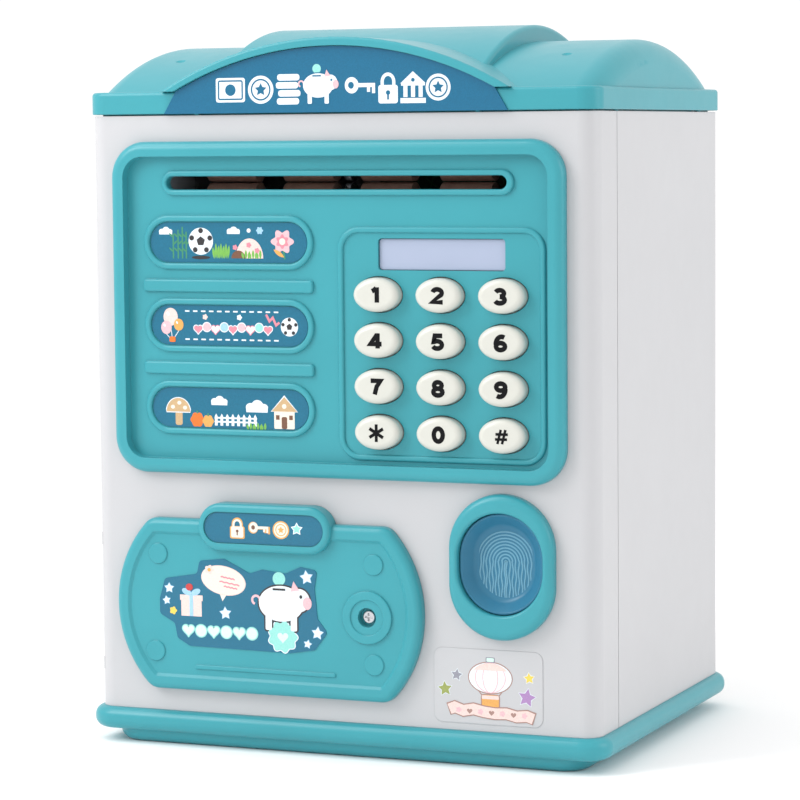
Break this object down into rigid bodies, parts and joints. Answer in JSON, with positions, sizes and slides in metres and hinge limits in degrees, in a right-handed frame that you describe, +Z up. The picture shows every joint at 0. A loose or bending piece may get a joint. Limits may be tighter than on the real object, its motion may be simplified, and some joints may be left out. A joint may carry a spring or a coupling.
{
  "type": "toy cash machine savings bank",
  "caption": "Electronic toy savings bank shaped like a cash machine, with a note slot, keypad, fingerprint pad and hinged safe door.",
  "frame": {"origin": "middle of the base's underside, on the surface the bank stands on", "axes": "+Z up, -Y out of the front face, +X to the right of someone facing the front"},
  "size_m": [0.1864, 0.1457, 0.2422],
  "materials": {
    "white_shell": "satin moulded ABS",
    "teal_shell": "glossy moulded ABS",
    "key_white": "glossy off-white",
    "sign_blue": "printed glossy sheet",
    "label_print": "printed glossy film",
    "clear_film": "clear printed film",
    "display_lens": "tinted translucent window",
    "display_glass": "liquid-crystal glass",
    "pad_blue": "smooth blue plastic",
    "silicone": "translucent silicone",
    "roller_rubber": "matte brown rubber",
    "board_green": "solder-masked board",
    "steel": "bright steel",
    "spring_steel": "bright spring wire",
    "motor_steel": "zinc-plated can",
    "white_gear": "natural acetal",
    "black_plastic": "fine-textured black",
    "speaker_paper": "coated paper cone",
    "grey_plastic": "moulded grey",
    "cell_jacket": "printed cell jacket"
  },
  "bodies": {
    "root": {"front_cover": "white_shell", "rear_housing": "white_shell", "roof_cover": "teal_shell", "sign_plate": "sign_blue", "base_tray": "teal_shell", "upper_panel": "teal_shell", "picture_label_top": "label_print", "picture_label_middle": "label_print", "picture_label_bottom": "label_print", "display_window": "display_lens", "display_glass": "display_glass", "keypad_membrane": "silicone", "keypad_board": "board_green", "fingerprint_bezel": "teal_shell", "fingerprint_board": "board_green", "hinge_pin": "steel", "latch_solenoid": "motor_steel", "latch_spring": "spring_steel", "feed_frame": "grey_plastic", "feed_motor": "motor_steel", "chamber_divider": "grey_plastic", "main_board": "board_green", "speaker": "speaker_paper", "board_screws": "steel", "housing_screws": "steel", "base_screws": "steel", "battery_box": "white_shell", "battery_cells": "cell_jacket", "battery_contacts": "spring_steel", "switch_body": "black_plastic", "front_sticker": "clear_film"},
    "fingerprint_pad": {"fingerprint_pad": "pad_blue"},
    "safe_door": {"safe_door": "teal_shell", "tab_label": "label_print", "door_label": "label_print", "door_catch": "steel", "catch_screw": "steel"},
    "latch_bolt": {"latch_bolt": "steel"},
    "battery_cover": {"battery_cover": "white_shell", "cover_screw": "steel"},
    "power_switch": {"power_switch": "black_plastic"},
    "drive_roller": {"drive_shaft": "steel", "drive_rollers": "roller_rubber", "drive_gear": "white_gear"},
    "idler_roller": {"idler_shaft": "steel", "idler_rollers": "roller_rubber"},
    "motor_pinion": {"motor_pinion": "white_gear"},
    "key_1": {"key_1": "key_white"},
    "key_2": {"key_2": "key_white"},
    "key_3": {"key_3": "key_white"},
    "key_4": {"key_4": "key_white"},
    "key_5": {"key_5": "key_white"},
    "key_6": {"key_6": "key_white"},
    "key_7": {"key_7": "key_white"},
    "key_8": {"key_8": "key_white"},
    "key_9": {"key_9": "key_white"},
    "key_star": {"key_star": "key_white"},
    "key_0": {"key_0": "key_white"},
    "key_hash": {"key_hash": "key_white"}
  },
  "joints": [
    {"name": "key_1_press", "type": "slide", "parent": "root", "child": "key_1", "axis": [0, 1, 0], "range_m": [0, 0.0015], "stiffness_N_per_m": 300},
    {"name": "key_2_press", "type": "slide", "parent": "root", "child": "key_2", "axis": [0, 1, 0], "range_m": [0, 0.0015], "stiffness_N_per_m": 300},
    {"name": "key_3_press", "type": "slide", "parent": "root", "child": "key_3", "axis": [0, 1, 0], "range_m": [0, 0.0015], "stiffness_N_per_m": 300},
    {"name": "key_4_press", "type": "slide", "parent": "root", "child": "key_4", "axis": [0, 1, 0], "range_m": [0, 0.0015], "stiffness_N_per_m": 300},
    {"name": "key_5_press", "type": "slide", "parent": "root", "child": "key_5", "axis": [0, 1, 0], "range_m": [0, 0.0015], "stiffness_N_per_m": 300},
    {"name": "key_6_press", "type": "slide", "parent": "root", "child": "key_6", "axis": [0, 1, 0], "range_m": [0, 0.0015], "stiffness_N_per_m": 300},
    {"name": "key_7_press", "type": "slide", "parent": "root", "child": "key_7", "axis": [0, 1, 0], "range_m": [0, 0.0015], "stiffness_N_per_m": 300},
    {"name": "key_8_press", "type": "slide", "parent": "root", "child": "key_8", "axis": [0, 1, 0], "range_m": [0, 0.0015], "stiffness_N_per_m": 300},
    {"name": "key_9_press", "type": "slide", "parent": "root", "child": "key_9", "axis": [0, 1, 0], "range_m": [0, 0.0015], "stiffness_N_per_m": 300},
    {"name": "key_star_press", "type": "slide", "parent": "root", "child": "key_star", "axis": [0, 1, 0], "range_m": [0, 0.0015], "stiffness_N_per_m": 300},
    {"name": "key_0_press", "type": "slide", "parent": "root", "child": "key_0", "axis": [0, 1, 0], "range_m": [0, 0.0015], "stiffness_N_per_m": 300},
    {"name": "key_hash_press", "type": "slide", "parent": "root", "child": "key_hash", "axis": [0, 1, 0], "range_m": [0, 0.0015], "stiffness_N_per_m": 300},
    {"name": "pad_press", "type": "slide", "parent": "root", "child": "fingerprint_pad", "axis": [0, 1, 0], "range_m": [0, 0.0012], "stiffness_N_per_m": 500},
    {"name": "door_hinge", "type": "hinge", "parent": "root", "child": "safe_door", "pos_m": [-0.084, -0.062, 0.048], "axis": [0, 0, -1], "range_deg": [0, 95]},
    {"name": "bolt_slide", "type": "slide", "parent": "root", "child": "latch_bolt", "axis": [-1, 0, 0], "range_m": [0, 0.0045], "deforming": ["latch_spring"]},
    {"name": "battery_cover_lift", "type": "slide", "parent": "root", "child": "battery_cover", "axis": [0, 1, 0], "range_m": [0, 0.03]},
    {"name": "power_slide", "type": "slide", "parent": "root", "child": "power_switch", "axis": [1, 0, 0], "range_m": [0, 0.005]},
    {"name": "feed_spin", "type": "hinge", "parent": "root", "child": "drive_roller", "pos_m": [0, -0.054, 0.1851], "axis": [1, 0, 0], "continuous": true},
    {"name": "idler_spin", "type": "hinge", "parent": "root", "child": "idler_roller", "pos_m": [0, -0.054, 0.1951], "axis": [1, 0, 0], "continuous": true},
    {"name": "pinion_spin", "type": "hinge", "parent": "root", "child": "motor_pinion", "pos_m": [0.065, -0.04427, 0.17603], "axis": [1, 0, 0], "continuous": true}
  ],
  "couplings": [
    {"joint": "idler_spin", "follows": "feed_spin", "ratio": -1},
    {"joint": "pinion_spin", "follows": "feed_spin", "ratio": -2.8}
  ]
}
